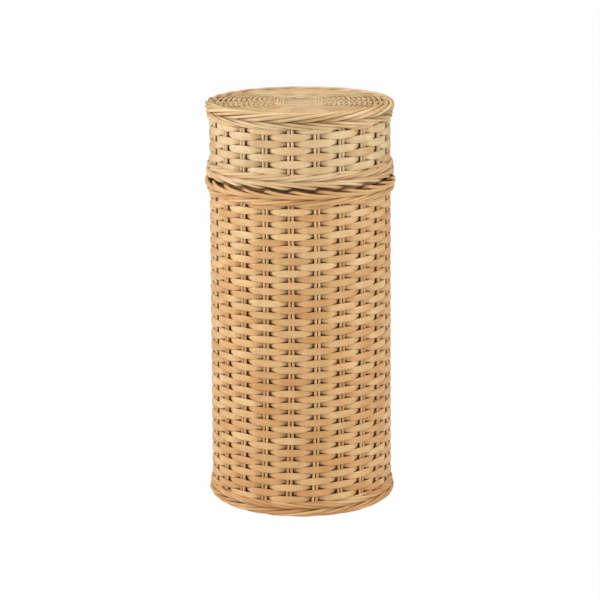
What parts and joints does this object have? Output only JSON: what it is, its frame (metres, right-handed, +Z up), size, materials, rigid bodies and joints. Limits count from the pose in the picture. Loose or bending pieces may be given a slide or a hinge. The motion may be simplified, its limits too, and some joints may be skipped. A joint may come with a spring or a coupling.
{
  "type": "woven basket with lid",
  "caption": "Round upright rattan basket with straight woven walls on paired stakes, plaited borders, an inner hoop and a lift-off woven lid.",
  "frame": {"origin": "on the floor, in the middle of the round foot", "axes": "+Z up along the basket's axis, -Y towards the viewer of the picture, +X to that viewer's right"},
  "size_m": [0.1524, 0.1508, 0.3175],
  "materials": {
    "wall_cane": "natural peeled flat cane, satin",
    "stake_cane": "natural round cane, satin",
    "border_cane": "natural round cane, plaited, satin",
    "lid_cane": "natural peeled flat cane, pale, satin",
    "lid_border_cane": "natural round cane, plaited, pale, satin",
    "lid_stake_cane": "natural round cane, pale, satin",
    "hoop_lath": "split cane lath, matt"
  },
  "bodies": {
    "basket": {"base_mat": "wall_cane", "base_bindings": "wall_cane", "base_spokes_across": "stake_cane", "base_spokes_along": "stake_cane", "foot_border": "border_cane", "wall_stakes": "stake_cane", "wall_weaver_a": "wall_cane", "wall_weaver_b": "wall_cane", "rim_border": "border_cane", "rim_hoop": "hoop_lath"},
    "lid": {"lid_mat": "lid_cane", "lid_bindings": "lid_cane", "lid_spokes_across": "lid_stake_cane", "lid_spokes_along": "lid_stake_cane", "lid_top_border": "lid_border_cane", "lid_stakes": "lid_stake_cane", "lid_weaver_a": "lid_cane", "lid_weaver_b": "lid_cane", "lid_rim_border": "lid_border_cane"}
  },
  "joints": [
    {"name": "lid_lift", "type": "slide", "parent": "basket", "child": "lid", "axis": [0, 0, 1], "range_m": [0, 0.15]}
  ]
}
